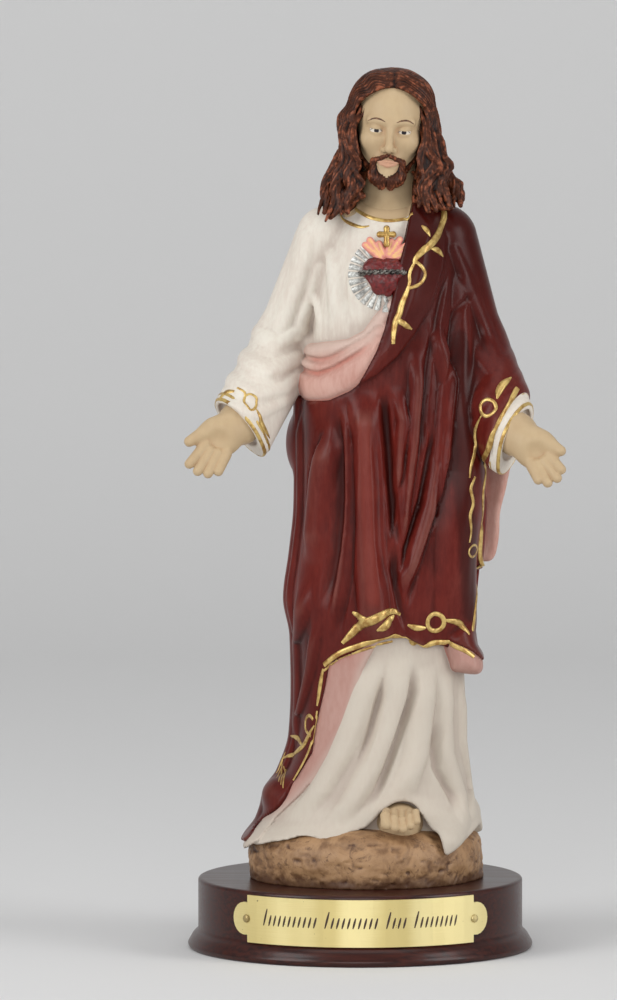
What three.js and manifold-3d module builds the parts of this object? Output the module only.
// A painted resin devotional figurine: a robed man with open hands stands on a rock,
// cast in one piece, on a turned wooden plinth with a pinned brass nameplate.
// Millimetres, +Z up. The origin is the centre of the plinth's underside and the figure faces -Y.
import * as THREE from 'three';
import { mergeVertices } from 'three/addons/utils/BufferGeometryUtils.js';
import Module from 'manifold-3d';

const wasm = await Module();
wasm.setup();

// Plinth
const PLINTH_HEIGHT = 15.2;
const DRUM_DIAMETER = 69.8;
const FOOT_DIAMETER = 74.2;
const FOOT_HEIGHT = 4.2; // of the ogee below the straight drum
const RIM_ROUND = 0.5;
const PLINTH_SIDES = 72;

// Nameplate
const PLATE_LENGTH = 62; // along the curve, lobe to lobe
const PLATE_BODY_LENGTH = 53.4; // along the curve, between the square corners
const PLATE_HEIGHT = 10.2;
const PLATE_THICKNESS = 0.5;
const PLATE_LOBE_DIAMETER = 7.1;
const PLATE_CENTRE_HEIGHT = 9.3;
const GLUE_GAP = 0.12; // behind the plate

// Plate pins
const PIN_SPACING = 53.8; // along the curve
const PIN_HEAD_DIAMETER = 1.8;
const PIN_HEAD_HEIGHT = 0.55;
const PIN_SHANK_DIAMETER = 0.8;
const PIN_SHANK_LENGTH = 4;
const PIN_CLEARANCE = 0.12; // round the shank, and behind the head
const PIN_SIDES = 12;

// Figure, from the plinth's top to the crown of the hair
const FIGURE_HEIGHT = 174.8;

// The figure's own proportions below are for a height of about 174.8. The casting is then scaled.
const CROWN = 174.8;
const BODY_DETAIL = { step: 1.25, triangles: 4200 }; // cloth and rock: sampling step and faces
const HEAD_DETAIL = { step: 0.6, triangles: 1850 };
const HAND_DETAIL = { step: 0.5, triangles: 360 };
const FOOT_DETAIL = { step: 0.5, triangles: 220 };

// A smooth curve through knots [t, value], level beyond its ends.
function curve(knots) {
  const slope = knots.map((knot, i) => {
    const before = knots[Math.max(i - 1, 0)];
    const after = knots[Math.min(i + 1, knots.length - 1)];
    return (after[1] - before[1]) / (after[0] - before[0]);
  });
  return (t) => {
    if (t <= knots[0][0]) return knots[0][1];
    const next = knots.findIndex((knot) => knot[0] >= t);
    if (next < 0) return knots[knots.length - 1][1];
    const [t0, v0] = knots[next - 1];
    const [t1, v1] = knots[next];
    const span = t1 - t0;
    const u = (t - t0) / span;
    const rise = v1 - v0;
    return v0 + u * (slope[next - 1] * span
      + u * (3 * rise - (2 * slope[next - 1] + slope[next]) * span
      + u * ((slope[next - 1] + slope[next]) * span - 2 * rise)));
  };
}

// Joins and cuts of distance fields, rounded over a width
function join(a, b, width) {
  const h = Math.max(width - Math.abs(a - b), 0) / width;
  return Math.min(a, b) - h * h * width / 4;
}

function common(a, b, width) {
  return -join(-a, -b, width);
}

function fade(from, to, t) {
  const u = Math.min(Math.max((t - from) / (to - from), 0), 1);
  return u * u * (3 - 2 * u);
}

// Distance from (u, v) to an open path of [u, v] points
function pathDistance(path, u, v) {
  let best = Infinity;
  for (let i = 1; i < path.length; i++) {
    const [u0, v0] = path[i - 1];
    const du = path[i][0] - u0;
    const dv = path[i][1] - v0;
    const along = Math.min(Math.max(((u - u0) * du + (v - v0) * dv) / (du * du + dv * dv), 0), 1);
    best = Math.min(best, (u - u0 - along * du) ** 2 + (v - v0 - along * dv) ** 2);
  }
  return Math.sqrt(best);
}

// The same to an outline, a path that ends where it began, negative inside it
function outlineDistance(outline, u, v) {
  let inside = false;
  for (let i = 1; i < outline.length; i++) {
    const [u0, v0] = outline[i - 1];
    const [u1, v1] = outline[i];
    if (v0 > v !== v1 > v && u < u0 + (u1 - u0) * (v - v0) / (v1 - v0)) inside = !inside;
  }
  const distance = pathDistance(outline, u, v);
  return inside ? -distance : distance;
}

function closed(path) {
  return [...path, path[0]];
}

// Distance to a rod between two points whose radius runs from one value to another
function rod(p, a, b, radiusA, radiusB) {
  const d = [b[0] - a[0], b[1] - a[1], b[2] - a[2]];
  const e = [p[0] - a[0], p[1] - a[1], p[2] - a[2]];
  const length2 = d[0] * d[0] + d[1] * d[1] + d[2] * d[2];
  const along = Math.min(Math.max((e[0] * d[0] + e[1] * d[1] + e[2] * d[2]) / length2, 0), 1);
  const off = Math.hypot(e[0] - along * d[0], e[1] - along * d[1], e[2] - along * d[2]);
  return off - radiusA - along * (radiusB - radiusA);
}

function ball(p, centre, radii) {
  const scaled = Math.hypot(
    (p[0] - centre[0]) / radii[0], (p[1] - centre[1]) / radii[1], (p[2] - centre[2]) / radii[2]);
  return (scaled - 1) * Math.min(radii[0], radii[1], radii[2]);
}

// Body: an oval section round a leaning spine, wider and narrower with height
const SPINE = curve([[0, 1], [30, 1.7], [50, 3.7], [70, 5.5], [145, 6]]);
const ROBE = {
  left: curve([[0, -23], [8, -24.2], [12.8, -20.4], [18, -17.4], [23, -14.6], [31, -12], [52, -11.8],
    [60, -13.2], [70, -12], [80, -11], [104, -11], [116, -10.4], [130, -9], [138, -6.6], [145, -1.5],
    [150, 0]]),
  right: curve([[0, 23], [8, 25.4], [14, 26.2], [20, 23.2], [41, 22.5], [48, 22], [56, 20.8], [66, 22],
    [80, 23], [100, 22], [115, 20.2], [130, 19.6], [138, 18.4], [145, 13.5], [150, 12]]),
  front: curve([[0, 21], [12, 19.5], [20, 17], [35, 15], [50, 14.5], [60, 15], [80, 14.5], [100, 14],
    [115, 13.6], [130, 12.6], [138, 10.8], [145, 7.2], [150, 6]]),
  back: curve([[0, 17], [12, 17.5], [30, 15.5], [60, 14.5], [90, 13.5], [120, 12.5], [135, 11.5],
    [145, 8], [150, 6.5]]),
};
const OVAL_POWER = 2.3;

// Places on the front are [x, z] as seen from the front.
const LAPEL_EDGE = [[-0.3, 108], [3.4, 115.2], [5.6, 121.3], [6.9, 126.6], [8.1, 133], [9.7, 139.4],
  [11.2, 146]];
const LAPEL_FOLD = [[19.5, 146], [17.8, 132.3], [15, 124.3], [12.2, 119.7], [7.9, 113.9], [3.4, 110]];
const SASH_TOP = [[6.9, 126.6], [3.3, 122.8], [0.7, 119.2], [-1.9, 117.5], [-10.8, 117.3], [-13.2, 112.6]];
const SASH_FOOT = [[-40, 103.4], [-11.9, 103.4], [-6.9, 104.1], [-2, 106.5]];
const HEM = [[40, 42], [26.7, 44.1], [23, 48.7], [19.3, 50.6], [16.8, 51.5], [13.7, 51.2], [9.7, 53.5],
  [6.4, 53.6], [3.2, 52.7], [-0.7, 50.7], [-6.7, 47.7]];
const HEM_SIDE = [[-7.6, 42.6], [-9.6, 33.9], [-10.4, 28.2], [-13.7, 22.6], [-17.8, 16.9], [-24.8, 8.7],
  [-40, 2]];
const LINING_EDGE = [[5.4, 54], [3.2, 51.6], [0.3, 46.2], [-3, 34.9], [-5.4, 30], [-8.8, 24.2], [-13, 19.1],
  [-17.8, 14.2], [-22, 9.4], [-26, 6]];
const HEM_CORNER = closed([[17.2, 53], [17.2, 50.8], [19.3, 47.4], [19.7, 45.2], [25, 43.8], [26.3, 45.2],
  [25.8, 47.7], [24.6, 53]]);
const ROBE_HEM = curve([[-26, 7.4], [-13, 10.9], [-3.3, 13], [3.8, 16], [8.1, 18.5], [12.5, 15.8],
  [15, 13.1], [18.3, 6.9], [21.1, 8.1], [26, 12.4]]);
const MANTLE_FRONT = closed([...SASH_FOOT, ...LAPEL_EDGE, [40, 149], ...HEM, ...HEM_SIDE]);
const LINING_FRONT = closed([...HEM_SIDE.slice(0, 6), ...LINING_EDGE.slice().reverse(), [-6.7, 50]]);
const LAPEL = closed([...LAPEL_EDGE, ...LAPEL_FOLD]);
const SASH = closed([[-40, 112.6], ...SASH_FOOT, ...LAPEL_EDGE.slice(0, 4), ...SASH_TOP.slice(1)]);

// Across the back, from -180 to 180 degrees round the spine, with 0 in front
const BACK_HEM = curve([[-180, 20], [-150, 14], [-120, 11], [-90, 8], [90, 44], [120, 38], [150, 29],
  [180, 20]]);
const BACK_TOP = curve([[-180, 131], [-150, 120], [-120, 109], [-90, 104], [90, 149], [120, 149],
  [150, 142], [180, 131]]);

// Folds: the path of each crest as [x, z] from the top down, its half width and its height
const MANTLE_FOLDS = [
  [[[-11.5, 103], [-12.8, 90], [-14, 73], [-14.5, 60], [-14.9, 46]], 1.8, 1.3],
  [[[-5.2, 99], [-7.4, 87], [-8.3, 78], [-9.2, 68]], 3.6, 1.9],
  [[[-2.2, 104], [-1.3, 90], [-1.3, 78], [-2.8, 66], [-4.9, 56]], 1.3, 1.4],
  [[[0.9, 107], [1.5, 92], [2.1, 78], [2.5, 67], [3, 58], [4.3, 50]], 3.4, 2.3],
  [[[7.5, 108], [8.8, 100], [8.4, 92], [7.9, 82]], 1.5, 1.6],
  [[[11.5, 116], [11.4, 106], [10.6, 96], [9.2, 85], [8, 73]], 1.6, 1.8],
  [[[15, 122], [17.2, 108], [16.3, 92], [14.6, 84], [12.8, 77], [10.6, 69], [8.4, 62]], 2, 1.9],
  [[[19.4, 140], [19.6, 120], [19.8, 103], [19.8, 89], [18.6, 76], [17.6, 50]], 4, 2.1],
  [[[23.8, 88], [24.7, 73], [24.7, 64], [23.8, 50]], 2.2, 2.6],
  [[[-10.8, 66], [-11.8, 50], [-12.5, 38], [-14.5, 26]], 3, 1.4],
  [[[-8, 58], [-9.4, 46], [-11.4, 36], [-14, 27], [-19, 16]], 1.8, 1.2],
];
const MANTLE_VALLEYS = [
  [[[-6.6, 100], [-8.3, 94], [-9.4, 88], [-9.8, 80]], 1.3, 1.3],
  [[[-3.7, 103], [-2.9, 94], [-2.6, 84], [-3.6, 72], [-6.6, 58]], 1.2, 1.3],
  [[[-0.6, 104], [-0.4, 92], [-0.8, 78], [-2, 67], [-5.2, 52]], 1, 1.2],
  [[[4.9, 108], [5.8, 96], [6.9, 81], [6.6, 70], [7.5, 63], [10.6, 52]], 1.3, 1.4],
  [[[22.5, 132], [21.8, 115], [21.8, 105], [21.4, 89], [21.2, 78], [22.9, 53]], 1.9, 3.4],
];
const ROBE_FOLDS = [
  [[[3, 49], [1, 42], [-1.5, 35], [-4.5, 28], [-9, 20], [-15, 13]], 3.4, 1.6],
  [[[8.5, 50], [7.5, 40], [5, 32], [2, 25], [-2, 18], [-7, 12]], 3.2, 1.8],
  [[[14.5, 48], [13, 36], [12, 28], [10, 22], [8, 17]], 3, 1.7],
  [[[18.5, 46], [17.8, 35], [18.2, 28], [21, 19], [22.5, 11]], 2.4, 1.6],
  [[[21.8, 44], [21.9, 30], [23.2, 20], [25, 12]], 2, 1],
  [[[-7, 140], [-5.6, 130], [-5, 118]], 3, 0.9],
  [[[-1.5, 138], [-0.5, 130], [0.4, 121]], 2.6, 0.8],
];
const ROBE_VALLEYS = [
  [[[5.2, 46], [4, 40], [2.3, 33], [0.3, 27], [-1.3, 24]], 1.2, 1],
  [[[12.2, 48], [10.9, 41], [9, 35], [6, 26], [4, 21], [1.5, 16]], 1.3, 1.4],
  [[[17.2, 38], [15.9, 30], [16.3, 25], [19.3, 19], [21.7, 14]], 1.2, 1.3],
];
const BACK_FOLDS = { count: 9, width: 3.6, height: 2, from: 98, turn: 164, spread: 0.12 };
const SASH_FOLDS = [
  [[[-10.5, 114.6], [-5, 114.8], [0, 116.5], [4.5, 121.5]], 2.6, 2.2],
  [[[-12, 110.6], [-6, 110.5], [-0.5, 112.5], [3.5, 116.5], [6, 122]], 2.6, 2.4],
  [[[-40, 107], [-13.5, 106.6], [-8, 106], [-2.5, 108.2], [1, 111.5], [4, 117]], 3.2, 3],
];
const FOLD_FADE = 8; // the run over which a fold dies away at each end
const UNDER_HEM = 3; // how far the hem of the robe overhangs what is under it
const LINING_THICKNESS = 0.8;
const SASH_THICKNESS = 1.2;
const MANTLE_THICKNESS = 1.5;
const LAPEL_THICKNESS = 2.2;
const LAPEL_SWELL = 1.6;
const ROLL = { thickness: 3, depth: 7 }; // of the mantle's top edge across the back
const EDGE_ROUND = 0.4; // of a cloth edge where it lies on the cloth beneath

// Where a point on the front lies round the spine, as an angle from straight ahead
function frontAngle(section, x) {
  const dx = x - section.centre;
  const half = dx < 0 ? section.left : section.right;
  const share = Math.min(Math.abs(dx) / half, 0.999);
  return Math.atan2(dx, section.front * (1 - share ** OVAL_POWER) ** (1 / OVAL_POWER));
}

// Folds cut by the level z: each has its angle there, and fades over its ends
function foldsAt(folds, section, z) {
  return folds.flatMap(([path, width, height]) => {
    const top = path[0][1];
    const foot = path[path.length - 1][1];
    if (z >= top || z <= foot) return [];
    const i = path.findIndex((point) => point[1] <= z);
    const share = (path[i - 1][1] - z) / (path[i - 1][1] - path[i][1]);
    const x = path[i - 1][0] + share * (path[i][0] - path[i - 1][0]);
    const strength = Math.min(fade(top, top - FOLD_FADE, z), fade(foot, foot + FOLD_FADE, z));
    return [{ angle: frontAngle(section, x), width, height: height * strength }];
  });
}

function backFoldsAt(z) {
  const { count, width, height, from, turn, spread } = BACK_FOLDS;
  return Array.from({ length: count }, (unused, i) => {
    const share = i / (count - 1);
    const degrees = from + turn * share + (share - 0.6) * (100 - z) * spread;
    const angle = THREE.MathUtils.degToRad(degrees > 180 ? degrees - 360 : degrees);
    const strength = fade(8, 20, z) * fade(146, 112, z) * (i % 2 ? 0.75 : 1);
    return { angle, width, height: height * strength };
  });
}

// Everything about the body that depends on height alone
function sectionAt(z) {
  const centre = SPINE(z);
  const section = {
    z,
    centre,
    left: centre - ROBE.left(z),
    right: ROBE.right(z) - centre,
    front: ROBE.front(z),
    back: ROBE.back(z),
  };
  section.robeFolds = foldsAt(ROBE_FOLDS, section, z);
  section.robeValleys = foldsAt(ROBE_VALLEYS, section, z);
  section.mantleFolds = [...foldsAt(MANTLE_FOLDS, section, z), ...backFoldsAt(z)];
  section.mantleValleys = foldsAt(MANTLE_VALLEYS, section, z);
  return section;
}

function rise(folds, angle, radius) {
  let height = 0;
  for (const fold of folds) {
    let turn = Math.abs(angle - fold.angle);
    if (turn > Math.PI) turn = 2 * Math.PI - turn;
    const off = turn * radius / fold.width;
    if (off < 1) height = Math.max(height, fold.height * (1 - off * off));
  }
  return height;
}

function riseInView(folds, x, z) {
  let height = 0;
  for (const [path, width, tall] of folds) {
    const off = pathDistance(path, x, z) / width;
    if (off < 1) height = Math.max(height, tall * (1 - off * off));
  }
  return height;
}

// Robe, lining, mantle, sash and lapel, each standing proud of the one beneath
function clothField([x, y, z], section) {
  const dx = x - section.centre;
  const angle = Math.atan2(dx, -y);
  const degrees = THREE.MathUtils.radToDeg(angle);
  const across = Math.abs(Math.sin(angle)) / (dx < 0 ? section.left : section.right);
  const along = Math.abs(Math.cos(angle)) / (y < 0 ? section.front : section.back);
  const oval = (across ** OVAL_POWER + along ** OVAL_POWER) ** (-1 / OVAL_POWER);
  const radius = Math.hypot(dx, y);
  const inFront = y < 0;

  const robe = oval + rise(section.robeFolds, angle, oval) - rise(section.robeValleys, angle, oval);
  const collar = (z - 146.5 - 0.35 * (y + 2)) * 0.94;
  const hem = inFront ? ROBE_HEM(x) - z : 8 - z;
  let field = common(common(radius - robe, collar, 1), hem * 0.8, 0.6);
  field = join(field, Math.max(radius - oval + UNDER_HEM, 8 - z, z - 20), EDGE_ROUND);

  const mantleEdge = inFront
    ? outlineDistance(MANTLE_FRONT, x, z)
    : Math.max(BACK_HEM(degrees) - z, z - BACK_TOP(degrees));
  const folds = rise(section.mantleFolds, angle, oval) - rise(section.mantleValleys, angle, oval);
  const mantle = oval + MANTLE_THICKNESS + folds;
  field = join(field, common(radius - mantle, mantleEdge, 0.8), EDGE_ROUND);

  if (inFront) {
    const lining = oval + LINING_THICKNESS;
    const liningEdge = outlineDistance(LINING_FRONT, x, z);
    field = join(field, common(radius - lining, liningEdge, 0.5), EDGE_ROUND);
    const sash = oval + SASH_THICKNESS + riseInView(SASH_FOLDS, x, z);
    field = join(field, common(radius - sash, outlineDistance(SASH, x, z), 2), EDGE_ROUND);
    const lapelEdge = outlineDistance(LAPEL, x, z);
    const lapel = oval + LAPEL_THICKNESS + LAPEL_SWELL * fade(0, 5, -lapelEdge);
    field = join(field, common(radius - lapel, lapelEdge, 1), EDGE_ROUND);
  } else {
    const top = BACK_TOP(degrees);
    const roll = Math.max(z - top, top - ROLL.depth - z);
    field = join(field, common(radius - oval - ROLL.thickness, roll, 2.4), EDGE_ROUND);
  }
  return field;
}

// Arms: shoulder, elbow, the middle of the cuff's opening, the way that opening faces, and the
// bell of the sleeve that hangs under the forearm
const RIGHT_ARM = {
  shoulder: [-7.4, 1, 138.4],
  elbow: [-17.4, 2, 115.6],
  cuff: [-26.3, -13, 98.9],
  facing: [-0.72, -0.36, -0.59],
  bell: [[-15, -1, 108.5], [-22.6, -12, 95]],
  radii: [6.3, 5.2, 6.8],
};
const LEFT_ARM = {
  shoulder: [17.4, 1, 137.5],
  elbow: [24.6, 3, 114],
  cuff: [33.1, -13, 96.1],
  facing: [0.86, -0.4, -0.31],
  bell: [[24, 1, 106], [30.5, -12, 91.5]],
  radii: [7.4, 6.3, 6.2],
};
const SLEEVE_FOLDS = [
  [[[-24.5, 116], [-19, 113.6], [-12.5, 117]], 2.4, 0.9],
  [[[-27, 111.5], [-20, 108.4], [-13, 110.5]], 2.2, 1],
  [[[-29, 107], [-22, 103], [-15.5, 104]], 2, 0.8],
  [[[-12, 138], [-14, 128], [-17, 120]], 2.4, 0.7],
];
const BELL_RADII = [3.6, 3];
const CUFF_DEPTH = 4;
const CUFF_WALL = 1.1;

function sleeveField(p, arm, folds) {
  const upper = rod(p, arm.shoulder, arm.elbow, arm.radii[0], arm.radii[1]);
  const lower = rod(p, arm.elbow, arm.cuff, arm.radii[1], arm.radii[2]);
  const hollow = rod(p, arm.elbow, arm.cuff, arm.radii[1] - CUFF_WALL, arm.radii[2] - CUFF_WALL);
  let beyond = 0;
  for (let i = 0; i < 3; i++) beyond += (p[i] - arm.cuff[i]) * arm.facing[i];
  const bell = rod(p, ...arm.bell, ...BELL_RADII);
  const sleeve = common(join(join(upper, lower, 3), bell, 4) - folds, beyond, 0.8);
  return common(sleeve, -common(hollow, -beyond - CUFF_DEPTH, 0.5), 0.5);
}

// The mantle over the far arm, its end hanging below the forearm, and the lining behind that
const MANTLE_SLEEVE_RADII = [6.7, 6.9];
const MANTLE_SLEEVE_END = [32.2, -12, 97];
const ARM_FALL = { middle: [22.6, -5, 84], radii: [3.6, 8, 34], foot: 50 };
const LINING_FALL = { left: 16, right: 31, foot: 68, top: 114, middle: 4, thickness: 3.2 };
function armDrapeField(p) {
  const [x, y, z] = p;
  const over = rod(p, LEFT_ARM.elbow, LEFT_ARM.cuff, ...MANTLE_SLEEVE_RADII);
  let edge = 0;
  for (let i = 0; i < 3; i++) edge += (p[i] - MANTLE_SLEEVE_END[i]) * LEFT_ARM.facing[i];
  let field = common(over, edge, 1);
  const sway = 0.8 * Math.sin(z * 0.16);
  const hang = ball([x - sway, y, z], ARM_FALL.middle, ARM_FALL.radii);
  field = join(field, common(hang, ARM_FALL.foot - z, 1), 2);
  // The corner of the hem swings out beside the body.
  const corner = common(outlineDistance(HEM_CORNER, x, z), Math.abs(y + 5) - 6, 1.5);
  field = join(field, corner, 1);
  const fall = LINING_FALL;
  const wave = fall.middle + 1.1 * Math.sin(x * 0.45 + z * 0.03);
  const sheet = common(Math.abs(y - wave) - fall.thickness / 2, x - fall.right + 0.05 * (88 - z), 1.4);
  const ends = Math.max(fall.left - x, z - fall.top, fall.foot + 0.25 * (fall.right - x) - z);
  return join(field, common(sheet, ends, 1.4), 1.6);
}

// Hands, palms forward: the wrist inside the sleeve, the palm, then each finger's root and tip,
// the thumb last
const RIGHT_HAND = {
  wrist: [-23.3, -8, 104],
  palm: [-30, -18, 97],
  fingers: [
    [[-33.2, -19.4, 95.2], [-36.6, -22.4, 91.6]],
    [[-32.2, -19.8, 94], [-34.8, -22.8, 90.1]],
    [[-30.6, -19.8, 93.4], [-32.6, -22.8, 89.6]],
    [[-28.8, -19.4, 93.4], [-30.4, -22.4, 90]],
    [[-31.8, -17.6, 98.8], [-36.6, -20.4, 96.2]],
  ],
};
const LEFT_HAND = {
  wrist: [30.4, -8, 101.4],
  palm: [37.4, -18, 94.4],
  fingers: [
    [[36.4, -19.4, 91.4], [38, -22.4, 88.2]],
    [[38, -19.8, 91.2], [40, -22.8, 87.6]],
    [[39.4, -19.8, 91.8], [42, -22.8, 88.6]],
    [[40.4, -19.4, 92.8], [42.9, -22.4, 90.4]],
    [[39.2, -17.6, 96], [42.8, -20.4, 94.2]],
  ],
};

const WRIST_RADII = [2.8, 2.9];
const PALM_RADII = [4.4, 2.5, 4.4];
const FINGER = { radii: [1.15, 0.85], blend: 0.5 };
const THUMB = { radii: [1.7, 1.1], blend: 1 };

function handField(p, hand) {
  let field = join(rod(p, hand.wrist, hand.palm, ...WRIST_RADII), ball(p, hand.palm, PALM_RADII), 1.5);
  hand.fingers.forEach(([root, tip], i) => {
    const { radii, blend } = i === 4 ? THUMB : FINGER;
    field = join(field, rod(p, root, tip, ...radii), blend);
  });
  return field;
}

// Head, in a frame of its own: u to the viewer's right, v to the back, w up, tilted a little.
const HEAD_CENTRE = [6.4, -1, 162];
const HEAD_TILT = THREE.MathUtils.degToRad(4.5);
const FACE_WIDTH = 14.8; // two thirds of the head's height
const HAIR = {
  left: curve([[140, 9.5], [145.7, 13.7], [148.3, 13.9], [151, 12.4], [153.6, 10.9], [158.8, 11.4],
    [164, 11.6], [166.6, 9.8], [169.2, 9], [171.8, 7.6], [174, 4.8], [174.8, 1]]),
  right: curve([[140, 9], [144, 16], [147, 15.4], [151, 11.4], [153.6, 10.4], [158.8, 11.6], [164, 10.4],
    [166.6, 9.5], [169.2, 8.9], [171.8, 7.2], [174, 3.8], [174.8, 1]]),
  front: curve([[140, 7], [148, 7.4], [160, 8], [166, 9], [169.2, 8.2], [171.8, 6.4], [174, 3.6],
    [174.8, 0.8]]),
  back: curve([[140, 8], [146, 10.6], [152, 11.4], [160, 11.8], [166, 11], [169.2, 9.6], [171.8, 7.6],
    [174, 4.4], [174.8, 1]]),
};
const HAIR_TIPS = 142.6;
const LOCKS = 13;
const LOCK_DEPTH = 0.9;
const PARTING_DEPTH = 1.2;
const FACE_OPENING = { half: 6.3, top: 8.3 }; // of the hair round the face

function toHead([x, y, z]) {
  const dx = x - HEAD_CENTRE[0];
  const dz = z - HEAD_CENTRE[2];
  const cos = Math.cos(HEAD_TILT);
  const sin = Math.sin(HEAD_TILT);
  return [cos * dx - sin * dz, y - HEAD_CENTRE[1], sin * dx + cos * dz];
}

function hairField([x, y, z], [u, v, w]) {
  const dx = x - HEAD_CENTRE[0] - 0.06 * (z - HEAD_CENTRE[2]);
  const angle = Math.atan2(dx, -y);
  const across = Math.abs(Math.sin(angle)) / (dx < 0 ? HAIR.left(z) : HAIR.right(z));
  const along = Math.abs(Math.cos(angle)) / (y < 0 ? HAIR.front(z) : HAIR.back(z));
  const oval = 1 / Math.hypot(across, along);
  // Locks run from the parting round the skull, then fall and wave.
  const sweep = Math.atan2(v, fade(-2, 6, w) * Math.max(w, 0) + fade(6, -2, w) * Math.abs(u) + 0.5);
  const wave = 0.45 * Math.sin(0.55 * w + 2 * Math.sin(3 * sweep) + (u < 0 ? 1 : 0));
  const groove = Math.abs(Math.sin((sweep + wave * 0.5) * LOCKS / 2));
  const parting = PARTING_DEPTH * Math.max(0, 1 - Math.abs(u) / 0.9) * fade(3, 7, w);
  let field = Math.hypot(dx, y) - oval + LOCK_DEPTH * (1 - groove) + parting;
  const tips = HAIR_TIPS + 1.6 * Math.sin(angle * 5 + 1) + (y > 0 ? -1.5 : 0);
  field = common(field, Math.max(tips - z, z - CROWN), 1.5);
  // The hair frames the face and opens over the throat.
  const arch = w - FACE_OPENING.top + 0.07 * u * u;
  const opening = common(common(Math.abs(u) - FACE_OPENING.half, arch, 2), v - 1, 1.5);
  return common(field, -opening, 0.8);
}

function headField(p) {
  const q = toHead(p);
  const [u, v, w] = q;
  const half = FACE_WIDTH / 2;
  const mirrored = [Math.abs(u), v, w];
  let face = ball(q, [0, 1.2, 2.8], [half, 8.9, 8]);
  face = join(face, ball(q, [0, -1.8, -3.6], [half * 0.84, 6, 7.4]), 2.5);
  face = join(face, rod(q, [0, -6.6, -9.2], [0, -6.4, -9.6], 1.7, 1.6), 1.5);
  face = join(face, rod(q, [0, -7.3, 0.6], [0, -9, -4], 0.7, 1.1), 0.8);
  face = join(face, rod(mirrored, [1, -7.5, 1.5], [4.4, -6.2, 1.7], 0.9, 0.6), 1);
  face = common(face, -ball(mirrored, [2.9, -8.4, -0.4], [1.7, 1.5, 1.1]), 0.8);
  // Beard on the chin, joined to the moustache
  let beard = rod(mirrored, [0.3, -8.2, -5.6], [2.7, -7, -8], 0.75, 0.9);
  beard = join(beard, rod(mirrored, [2.5, -6.9, -8.4], [0.9, -7.3, -12.2], 1.1, 1), 1);
  beard = join(beard, ball(q, [0, -5.6, -10.4], [3.2, 2.8, 2.4]), 1);
  face = join(face, beard, 0.4);
  const neck = rod(p, [6, 1.4, 142], [6.4, 1, 155], 6.1, 5.5);
  return join(join(face, neck, 1.5), hairField(p, q), 0.3);
}

// Rock: a low drum with a rounded, lumpy shoulder, and the toes that show over its edge
const ROCK_RADIUS = 25.3;
const ROCK_TOP = 12;
const ROCK_CENTRE = [1.1, 0.6];
const ROCK_SHOULDER = 4.5;
function rockField([x, y, z]) {
  const dx = x - ROCK_CENTRE[0];
  const dy = y - ROCK_CENTRE[1];
  const angle = Math.atan2(dy, dx);
  const lumps = 0.4 * Math.sin(5 * angle + z * 0.5) + 0.25 * Math.sin(11 * angle - z * 0.7);
  const side = Math.hypot(dx, dy) - ROCK_RADIUS - lumps + 0.02 * (z - 6) ** 2;
  return common(side, z - ROCK_TOP - 0.4 * Math.sin(x * 0.6) * Math.cos(y * 0.5), ROCK_SHOULDER);
}

const FOOT = { middle: [7.8, -14, 12.6], radii: [4.6, 8, 3.6] };
const TOES = { count: 5, first: 4.6, pitch: 1.75, root: -17.5, tip: -21.6, radii: [1, 0.95] };
function footField(p) {
  let field = ball(p, FOOT.middle, FOOT.radii);
  for (let i = 0; i < TOES.count; i++) {
    const x = TOES.first + TOES.pitch * i;
    const tip = TOES.tip - 0.8 * Math.sin(i * 0.9 + 0.4);
    field = join(field, rod(p, [x, TOES.root, 14.2], [x, tip, 12.6], ...TOES.radii), 0.4);
  }
  return field;
}

// Cloth, sleeves and rock. The field ends a little below the plinth's top, where the casting is
// cut flat.
const FOOTING = -1;
const ROCK_REACH = 24; // above these levels there is no rock, and no sleeve outside these
const SLEEVE_REACH = [40, 152];
const BACK_BUNCH = { middle: [-9.6, 6, 93.4], radii: [5.8, 7, 9] }; // mantle gathered under the arm
function bodyAt(z) {
  const section = sectionAt(z);
  return (x, y) => {
    const p = [x, y, z];
    let field = clothField(p, section);
    if (z < ROCK_REACH) field = join(field, rockField(p), 0.6);
    if (z > SLEEVE_REACH[0] && z < SLEEVE_REACH[1]) {
      field = join(field, sleeveField(p, RIGHT_ARM, riseInView(SLEEVE_FOLDS, x, z)), 1.2);
      field = join(field, sleeveField(p, LEFT_ARM, 0), 1.2);
      field = join(field, armDrapeField(p), 0.8);
      field = join(field, ball(p, BACK_BUNCH.middle, BACK_BUNCH.radii), 1.5);
    }
    return Math.max(field, FOOTING - z);
  };
}

function gridLines(from, to, step) {
  return Array.from({ length: Math.ceil((to - from) / step) + 1 }, (unused, i) => from + i * step);
}

// Two parts of the solid that touch only across the diagonal of a face or of a cube of the grid
// would leave a pinched surface there, so the grid point nearest to the surface joins them.
function joinTouching(values, offsets) {
  const squares = [[0, 1, 3, 2], [0, 2, 6, 4], [0, 1, 5, 4]];
  const inside = (base, bits) => values[base + offsets[bits]] < 0;
  const last = values.length - offsets[7];
  for (let changed = true; changed;) {
    changed = false;
    for (let base = 0; base < last; base++) {
      let count = 0;
      for (let bits = 0; bits < 8; bits++) count += inside(base, bits) ? 1 : 0;
      if (count === 0 || count === 8) continue;
      let pinch = squares.find(([p, q, r, s]) => (
        inside(base, p) === inside(base, r) && inside(base, q) === inside(base, s)
        && inside(base, p) !== inside(base, q)));
      if (!pinch && (count === 2 || count === 6)) {
        const pair = [0, 1, 2, 3].find((bits) => (
          inside(base, bits) === inside(base, 7 - bits) && inside(base, bits) === (count === 2)));
        if (pair !== undefined) pinch = [0, 1, 2, 3, 4, 5, 6, 7];
      }
      if (!pinch) continue;
      const outside = pinch.filter((bits) => !inside(base, bits)).map((bits) => base + offsets[bits]);
      const nearest = outside.reduce((best, at) => (values[at] < values[best] ? at : best));
      values[nearest] = -0.05;
      changed = true;
    }
  }
}

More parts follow.
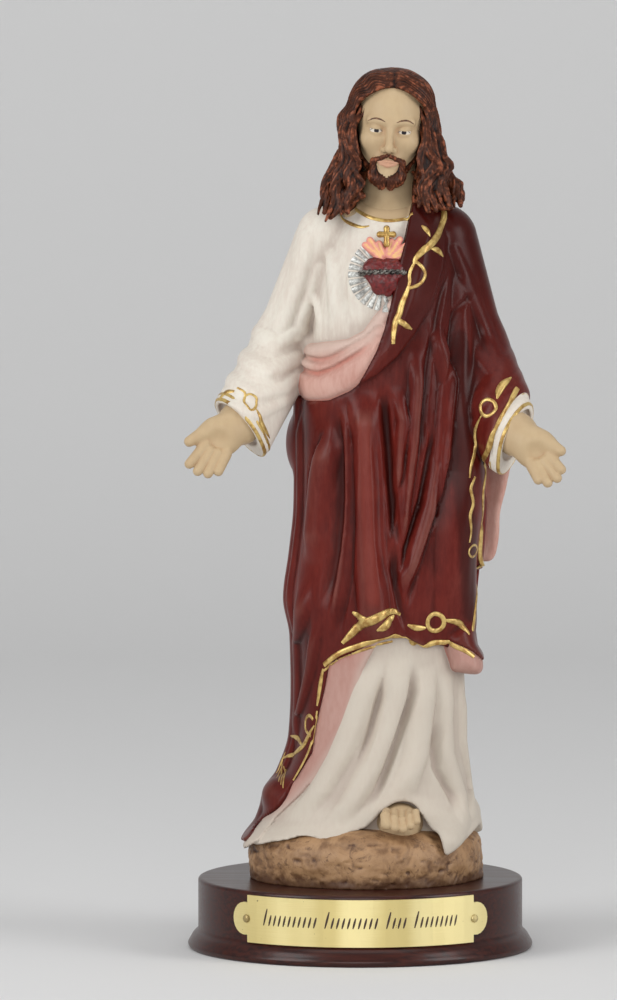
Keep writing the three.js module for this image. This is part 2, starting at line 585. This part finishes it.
// The closed surface on which a field sampled at grid lines is zero: one vertex in each cube that
// the surface crosses, and one face round each grid edge that it crosses
function surfaceOf(xs, ys, zs, values) {
  const strides = [1, xs.length, xs.length * ys.length];
  const offsets = Array.from({ length: 8 }, (unused, bits) => (
    (bits & 1) * strides[0] + ((bits >> 1) & 1) * strides[1] + ((bits >> 2) & 1) * strides[2]));
  joinTouching(values, offsets);
  const vertexOf = new Int32Array(values.length).fill(-1);
  const positions = [];
  const faces = [];
  for (let k = 0; k < zs.length - 1; k++) {
    for (let j = 0; j < ys.length - 1; j++) {
      for (let i = 0; i < xs.length - 1; i++) {
        const base = i + j * strides[1] + k * strides[2];
        const sum = [0, 0, 0];
        let crossings = 0;
        for (let bits = 0; bits < 8; bits++) {
          for (let axis = 0; axis < 3; axis++) {
            if (bits & (1 << axis)) continue;
            const a = values[base + offsets[bits]];
            const b = values[base + offsets[bits | (1 << axis)]];
            if (a < 0 === b < 0) continue;
            const share = a / (a - b);
            sum[0] += axis === 0 ? share : bits & 1;
            sum[1] += axis === 1 ? share : (bits >> 1) & 1;
            sum[2] += axis === 2 ? share : bits >> 2;
            crossings++;
          }
        }
        if (!crossings) continue;
        vertexOf[base] = positions.length / 3;
        positions.push(
          xs[i] + (xs[i + 1] - xs[i]) * (sum[0] / crossings),
          ys[j] + (ys[j + 1] - ys[j]) * (sum[1] / crossings),
          zs[k] + (zs[k + 1] - zs[k]) * (sum[2] / crossings));
      }
    }
  }
  for (let base = strides[2] + strides[1] + 1; base < values.length - offsets[7]; base++) {
    if (vertexOf[base] < 0) continue;
    for (let axis = 0; axis < 3; axis++) {
      const inside = values[base] < 0;
      if (inside === values[base + strides[axis]] < 0) continue;
      const b = strides[(axis + 1) % 3];
      const c = strides[(axis + 2) % 3];
      const ring = [base - b - c, base - c, base, base - b].map((cube) => vertexOf[cube]);
      if (!inside) ring.reverse();
      faces.push(ring[0], ring[1], ring[2], ring[0], ring[2], ring[3]);
    }
  }
  return { positions: Float64Array.from(positions), faces: Int32Array.from(faces) };
}

// A queue that gives back the entry with the least cost
class Queue {
  entries = [];

  push(entry) {
    const heap = this.entries;
    let at = heap.push(entry) - 1;
    while (at > 0) {
      const above = (at - 1) >> 1;
      if (heap[above].cost <= entry.cost) break;
      heap[at] = heap[above];
      at = above;
    }
    heap[at] = entry;
  }

  pop() {
    const heap = this.entries;
    const first = heap[0];
    const last = heap.pop();
    if (heap.length) {
      let at = 0;
      for (;;) {
        let below = 2 * at + 1;
        if (below >= heap.length) break;
        if (below + 1 < heap.length && heap[below + 1].cost < heap[below].cost) below++;
        if (heap[below].cost >= last.cost) break;
        heap[at] = heap[below];
        at = below;
      }
      heap[at] = last;
    }
    return first;
  }
}

// Merges the vertices that matter least to the shape until few enough triangles are left
const STAY_NEAR = 1e-3; // how strongly a merged vertex keeps to the middle of its edge
const LEAST_TURN = 0.2; // the cosine of the most that a face may turn in one merge
function thin({ positions, faces }, target) {
  const count = positions.length / 3;
  const facesAt = Array.from({ length: count }, () => []);
  const quadrics = new Float64Array(count * 10);
  const stamps = new Int32Array(count);
  const alive = new Uint8Array(faces.length / 3).fill(1);
  let left = alive.length;

  function normal(a, b, c) {
    const p = positions;
    const ux = p[3 * b] - p[3 * a];
    const uy = p[3 * b + 1] - p[3 * a + 1];
    const uz = p[3 * b + 2] - p[3 * a + 2];
    const vx = p[3 * c] - p[3 * a];
    const vy = p[3 * c + 1] - p[3 * a + 1];
    const vz = p[3 * c + 2] - p[3 * a + 2];
    return [uy * vz - uz * vy, uz * vx - ux * vz, ux * vy - uy * vx];
  }

  for (let f = 0; f < alive.length; f++) {
    const corners = [faces[3 * f], faces[3 * f + 1], faces[3 * f + 2]];
    const n = normal(...corners);
    const size = Math.hypot(...n) || 1e-12;
    const [a, b, c] = n.map((part) => part / size);
    const at = 3 * corners[0];
    const d = -(a * positions[at] + b * positions[at + 1] + c * positions[at + 2]);
    const plane = [a * a, a * b, a * c, a * d, b * b, b * c, b * d, c * c, c * d, d * d];
    for (const corner of corners) {
      facesAt[corner].push(f);
      for (let i = 0; i < 10; i++) quadrics[10 * corner + i] += plane[i] * size;
    }
  }

  // Where an edge's two ends would best meet, and what that costs
  function meeting(u, v) {
    const q = [];
    for (let i = 0; i < 10; i++) q.push(quadrics[10 * u + i] + quadrics[10 * v + i]);
    const middle = [0, 1, 2].map((i) => (positions[3 * u + i] + positions[3 * v + i]) / 2);
    const pull = STAY_NEAR * (q[0] + q[4] + q[7]) + 1e-9;
    const matrix = new THREE.Matrix3().set(
      q[0] + pull, q[1], q[2], q[1], q[4] + pull, q[5], q[2], q[5], q[7] + pull);
    const right = new THREE.Vector3(
      pull * middle[0] - q[3], pull * middle[1] - q[6], pull * middle[2] - q[8]);
    const { x, y, z } = right.applyMatrix3(matrix.invert());
    const flat = q[0] * x * x + q[4] * y * y + q[7] * z * z
      + 2 * (q[1] * x * y + q[2] * x * z + q[5] * y * z + q[3] * x + q[6] * y + q[8] * z) + q[9];
    const moved = (x - middle[0]) ** 2 + (y - middle[1]) ** 2 + (z - middle[2]) ** 2;
    return { cost: Math.max(flat, 0) + pull * moved, place: [x, y, z] };
  }

  const queue = new Queue();
  function offer(u, v) {
    queue.push({ u, v, stampU: stamps[u], stampV: stamps[v], ...meeting(u, v) });
  }

  function neighbours(v) {
    const near = new Set();
    for (const f of facesAt[v]) {
      for (let i = 0; i < 3; i++) near.add(faces[3 * f + i]);
    }
    near.delete(v);
    return near;
  }

  function turnsOver(v, other, place) {
    for (const f of facesAt[v]) {
      const corners = [faces[3 * f], faces[3 * f + 1], faces[3 * f + 2]];
      if (corners.includes(other)) continue;
      const before = normal(...corners);
      const kept = positions.slice(3 * v, 3 * v + 3);
      positions.set(place, 3 * v);
      const after = normal(...corners);
      positions.set(kept, 3 * v);
      const dot = before[0] * after[0] + before[1] * after[1] + before[2] * after[2];
      if (dot < LEAST_TURN * Math.hypot(...before) * Math.hypot(...after)) return true;
    }
    return false;
  }

  for (let v = 0; v < count; v++) {
    for (const near of neighbours(v)) {
      if (near > v) offer(v, near);
    }
  }
  while (left > target && queue.entries.length) {
    const { u, v, stampU, stampV, place } = queue.pop();
    if (stamps[u] !== stampU || stamps[v] !== stampV) continue;
    const nearV = neighbours(v);
    const shared = [...neighbours(u)].filter((near) => nearV.has(near));
    if (shared.length !== 2 || turnsOver(u, v, place) || turnsOver(v, u, place)) continue;
    positions.set(place, 3 * u);
    for (let i = 0; i < 10; i++) quadrics[10 * u + i] += quadrics[10 * v + i];
    for (const f of facesAt[v]) {
      const corners = [faces[3 * f], faces[3 * f + 1], faces[3 * f + 2]];
      if (corners.includes(u)) {
        alive[f] = 0;
        left--;
        for (const corner of corners) {
          if (corner !== v) facesAt[corner] = facesAt[corner].filter((face) => face !== f);
        }
      } else {
        faces[3 * f + corners.indexOf(v)] = u;
        facesAt[u].push(f);
      }
    }
    stamps[u]++;
    stamps[v] = -1;
    for (const near of neighbours(u)) offer(u, near);
  }

  const index = [];
  for (let f = 0; f < alive.length; f++) {
    if (alive[f]) index.push(faces[3 * f], faces[3 * f + 1], faces[3 * f + 2]);
  }
  return new THREE.BufferGeometry()
    .setAttribute('position', new THREE.Float32BufferAttribute(positions, 3))
    .setIndex(index)
    .toNonIndexed();
}

// A closed geometry as a solid that can be joined and cut
function solid(geometry) {
  const bare = geometry.clone();
  bare.deleteAttribute('normal');
  bare.deleteAttribute('uv');
  const merged = mergeVertices(bare, 1e-4);
  const index = merged.index.array;
  const whole = [];
  for (let i = 0; i < index.length; i += 3) {
    const [a, b, c] = index.slice(i, i + 3);
    if (a !== b && b !== c && c !== a) whole.push(a, b, c);
  }
  return new wasm.Manifold(new wasm.Mesh({
    numProp: 3,
    vertProperties: new Float32Array(merged.attributes.position.array),
    triVerts: new Uint32Array(whole),
  }));
}

function geometryOf(manifold) {
  const mesh = manifold.getMesh();
  const geometry = new THREE.BufferGeometry();
  geometry.setAttribute('position', new THREE.BufferAttribute(mesh.vertProperties, 3));
  geometry.setIndex(new THREE.BufferAttribute(mesh.triVerts, 1));
  geometry.computeVertexNormals();
  return geometry;
}

// The surface of a field inside a box, in a few triangles. The field is given level by level:
// at(z) gives the function of x and y that holds there.
const BLOCK = 4;
const STEEPEST = 1.4; // the most that a field changes over a millimetre
function shape(at, [low, high], { step, triangles }) {
  const [xs, ys, zs] = low.map((from, axis) => gridLines(from, high[axis], step));
  const levels = zs.map(at);
  const values = new Float32Array(xs.length * ys.length * zs.length);
  const middle = (from, lines) => Math.min(from + BLOCK / 2, lines.length - 1);
  // Blocks of grid points far from the surface take the value at their middle.
  for (let k0 = 0; k0 < zs.length; k0 += BLOCK) {
    for (let j0 = 0; j0 < ys.length; j0 += BLOCK) {
      for (let i0 = 0; i0 < xs.length; i0 += BLOCK) {
        const value = levels[middle(k0, zs)](xs[middle(i0, xs)], ys[middle(j0, ys)]);
        const far = Math.abs(value) > BLOCK * step * STEEPEST;
        for (let k = k0; k < Math.min(k0 + BLOCK, zs.length); k++) {
          for (let j = j0; j < Math.min(j0 + BLOCK, ys.length); j++) {
            for (let i = i0; i < Math.min(i0 + BLOCK, xs.length); i++) {
              values[i + xs.length * (j + ys.length * k)] = far ? value : levels[k](xs[i], ys[j]);
            }
          }
        }
      }
    }
  }
  return thin(surfaceOf(xs, ys, zs, values), triangles);
}

// Emblem in relief on the chest: a heart with flames and a small cross
const EMBLEM = { place: [4.4, -11.8, 131], lean: 15 }; // degrees, back with the chest
const HEART_WIDTH = 8;
const HEART_HEIGHT = 8;
const HEART_RELIEF = {
  depth: 2, bevelThickness: 0.7, bevelSize: 0.6, bevelOffset: -0.6, bevelSegments: 2, curveSegments: 4,
};
const FLAME = { turns: [-0.9, 0, 0.9], radii: [1.1, 2.3, 1.3] };
const CROSS = { x: 0.9, z: 9.1, height: 3.2, arms: 2.3, bar: 0.7, depth: 3 };
function emblem() {
  const heart = new THREE.Shape();
  const half = HEART_WIDTH / 2;
  heart.moveTo(0, -HEART_HEIGHT / 2);
  heart.bezierCurveTo(half * 0.5, -half * 0.7, half, -half * 0.2, half, half * 0.35);
  heart.bezierCurveTo(half, half, half * 0.35, half * 1.1, 0, half * 0.55);
  heart.bezierCurveTo(-half * 0.35, half * 1.1, -half, half, -half, half * 0.35);
  heart.bezierCurveTo(-half, -half * 0.2, -half * 0.5, -half * 0.7, 0, -HEART_HEIGHT / 2);
  const pieces = [new THREE.ExtrudeGeometry(heart, HEART_RELIEF)];
  for (const turn of FLAME.turns) {
    const flame = new THREE.SphereGeometry(1, 8, 6).scale(...FLAME.radii).translate(0, 2.2, 2);
    pieces.push(flame.rotateZ(-turn).translate(0.6 * turn, 3.4, 0));
  }
  const upright = new THREE.BoxGeometry(CROSS.bar, CROSS.height, CROSS.depth);
  const arms = new THREE.BoxGeometry(CROSS.arms, CROSS.bar, CROSS.depth);
  pieces.push(upright.translate(CROSS.x, CROSS.z, 1.2));
  pieces.push(arms.translate(CROSS.x, CROSS.z + 0.5, 1.2));
  const turn = THREE.MathUtils.degToRad(90 - EMBLEM.lean);
  return pieces.map((piece) => solid(piece.rotateX(turn).translate(...EMBLEM.place)));
}

// The boxes that hold the parts of the casting
const BODY_BOX = [[-42, -29, -3.3], [48, 30, 153]];
const HEAD_BOX = [[-9, -14, 134], [24, 14, 177]];
const RIGHT_HAND_BOX = [[-42, -28, 84], [-18, -3, 109]];
const LEFT_HAND_BOX = [[25, -28, 82], [49, -3, 107]];
const FOOT_BOX = [[0, -26, 6], [16, -3, 19]];

function figure() {
  const below = new THREE.BoxGeometry(200, 200, 20).translate(0, 0, -10);
  const plain = (field) => (z) => (x, y) => field([x, y, z]);
  let body = solid(shape(bodyAt, BODY_BOX, BODY_DETAIL));
  const pieces = [
    shape(plain(headField), HEAD_BOX, HEAD_DETAIL),
    shape(plain((p) => handField(p, RIGHT_HAND)), RIGHT_HAND_BOX, HAND_DETAIL),
    shape(plain((p) => handField(p, LEFT_HAND)), LEFT_HAND_BOX, HAND_DETAIL),
    shape(plain(footField), FOOT_BOX, FOOT_DETAIL),
  ].map(solid);
  for (const piece of [...pieces, ...emblem()]) body = body.add(piece);
  const casting = geometryOf(body.subtract(solid(below)));
  casting.computeBoundingBox();
  const scale = FIGURE_HEIGHT / casting.boundingBox.max.z;
  return casting.scale(scale, scale, scale);
}

// Nameplate bent round the drum: columns from end to end, each with its half height there
function plateHalfHeight(s) {
  const lobe = PLATE_LOBE_DIAMETER / 2;
  if (Math.abs(s) <= PLATE_BODY_LENGTH / 2) return PLATE_HEIGHT / 2;
  return Math.sqrt(Math.max(lobe ** 2 - (Math.abs(s) - PLATE_LENGTH / 2 + lobe) ** 2, 0));
}

const PLATE_BACK_RADIUS = DRUM_DIAMETER / 2 + GLUE_GAP;
const PLATE_FACE_RADIUS = PLATE_BACK_RADIUS + PLATE_THICKNESS;

// A point on the nameplate's front, at a distance along it from the middle
function onPlate(along, radius, height) {
  const angle = along / PLATE_FACE_RADIUS;
  return [radius * Math.sin(angle), -radius * Math.cos(angle), height];
}

const PLATE_COLUMNS = { body: 20, lobe: 6 };
const PLATE_CORNER = 0.03; // the run of the square corner's step

function nameplateGeometry() {
  const half = PLATE_BODY_LENGTH / 2;
  const columns = [];
  for (let i = 0; i <= PLATE_COLUMNS.body; i++) {
    columns.push(-half + (PLATE_BODY_LENGTH * i) / PLATE_COLUMNS.body);
  }
  for (let i = 0; i <= PLATE_COLUMNS.lobe; i++) {
    const share = Math.sin((Math.PI / 2) * (i / PLATE_COLUMNS.lobe));
    const out = PLATE_CORNER + (PLATE_LENGTH / 2 - half - PLATE_CORNER) * share;
    columns.push(half + out);
    columns.unshift(-half - out);
  }
  const positions = [];
  const index = [];
  columns.forEach((s, i) => {
    const top = PLATE_CENTRE_HEIGHT + plateHalfHeight(s);
    const foot = PLATE_CENTRE_HEIGHT - plateHalfHeight(s);
    positions.push(...onPlate(s, PLATE_FACE_RADIUS, foot), ...onPlate(s, PLATE_FACE_RADIUS, top));
    positions.push(...onPlate(s, PLATE_BACK_RADIUS, top), ...onPlate(s, PLATE_BACK_RADIUS, foot));
    if (i === 0) return;
    for (let side = 0; side < 4; side++) {
      const a = 4 * (i - 1) + side;
      const b = 4 * (i - 1) + (side + 1) % 4;
      index.push(a, a + 4, b + 4, a, b + 4, b);
    }
  });
  const last = 4 * (columns.length - 1);
  index.push(0, 1, 2, 0, 2, 3, last, last + 2, last + 1, last, last + 3, last + 2);
  return new THREE.BufferGeometry()
    .setAttribute('position', new THREE.Float32BufferAttribute(positions, 3))
    .setIndex(index);
}

// Turned pieces, from [radius, height] points up their outside, beginning and ending on the axis
function turned(outline, sides) {
  const points = outline.map(([r, z]) => new THREE.Vector2(r, z));
  return new THREE.LatheGeometry(points, sides).rotateX(Math.PI / 2);
}

function plinthGeometry() {
  const drum = DRUM_DIAMETER / 2;
  const foot = FOOT_DIAMETER / 2;
  const outline = [[0, 0], [foot - 0.4, 0], [foot, FOOT_HEIGHT * 0.15], [foot, FOOT_HEIGHT * 0.3]];
  const steps = 4;
  for (let i = 1; i <= steps; i++) {
    const share = i / steps;
    outline.push([foot - (foot - drum) * Math.sin((share * Math.PI) / 2) ** 0.8,
      FOOT_HEIGHT * (0.3 + 0.7 * share)]);
  }
  for (let i = 0; i <= 2; i++) {
    const angle = (i / 2) * (Math.PI / 2);
    const height = PLINTH_HEIGHT - RIM_ROUND * (1 - Math.sin(angle));
    outline.push([drum - RIM_ROUND * (1 - Math.cos(angle)), height]);
  }
  outline.push([0, PLINTH_HEIGHT]);
  return turned(outline, PLINTH_SIDES);
}

function pinGeometry() {
  const shank = PIN_SHANK_DIAMETER / 2;
  const head = PIN_HEAD_DIAMETER / 2;
  const outline = [[0, -PIN_SHANK_LENGTH], [shank, -PIN_SHANK_LENGTH + shank], [shank, 0], [head, 0]];
  for (let i = 1; i < 3; i++) {
    const angle = (i / 3) * (Math.PI / 2);
    outline.push([head * Math.cos(angle), PIN_HEAD_HEIGHT * Math.sin(angle)]);
  }
  outline.push([0, PIN_HEAD_HEIGHT]);
  return turned(outline, PIN_SIDES);
}

function holeGeometry() {
  const radius = PIN_SHANK_DIAMETER / 2 + PIN_CLEARANCE;
  const depth = PIN_SHANK_LENGTH + 2 * PIN_CLEARANCE;
  return new THREE.CylinderGeometry(radius, radius, 2 * depth, PIN_SIDES).rotateX(Math.PI / 2);
}

// Turns a piece made along +Z to stand out of the plate at one of its pins
function atPin(geometry, side) {
  const along = (side * PIN_SPACING) / 2;
  return geometry
    .rotateX(Math.PI / 2)
    .rotateZ(along / PLATE_FACE_RADIUS)
    .translate(...onPlate(along, PLATE_FACE_RADIUS + PIN_CLEARANCE, PLATE_CENTRE_HEIGHT));
}

function drilled(geometry) {
  let body = solid(geometry);
  for (const side of [-1, 1]) body = body.subtract(solid(atPin(holeGeometry(), side)));
  return geometryOf(body);
}

const paint = new THREE.MeshStandardMaterial({ color: 0x6b3330, roughness: 0.45, metalness: 0 });
const wood = new THREE.MeshStandardMaterial({ color: 0x3a1b17, roughness: 0.35, metalness: 0 });
const brass = new THREE.MeshStandardMaterial({ color: 0xd8c486, roughness: 0.35, metalness: 1 });

const group = new THREE.Group();

function addPiece(name, geometry, material) {
  const mesh = new THREE.Mesh(geometry, material);
  mesh.name = name;
  group.add(mesh);
  return mesh;
}

addPiece('plinth', drilled(plinthGeometry()), wood);
addPiece('nameplate', drilled(nameplateGeometry()), brass);
addPiece('plate_pin_left', atPin(pinGeometry(), -1), brass);
addPiece('plate_pin_right', atPin(pinGeometry(), 1), brass);
addPiece('figure', figure(), paint).position.z = PLINTH_HEIGHT;

export default group;
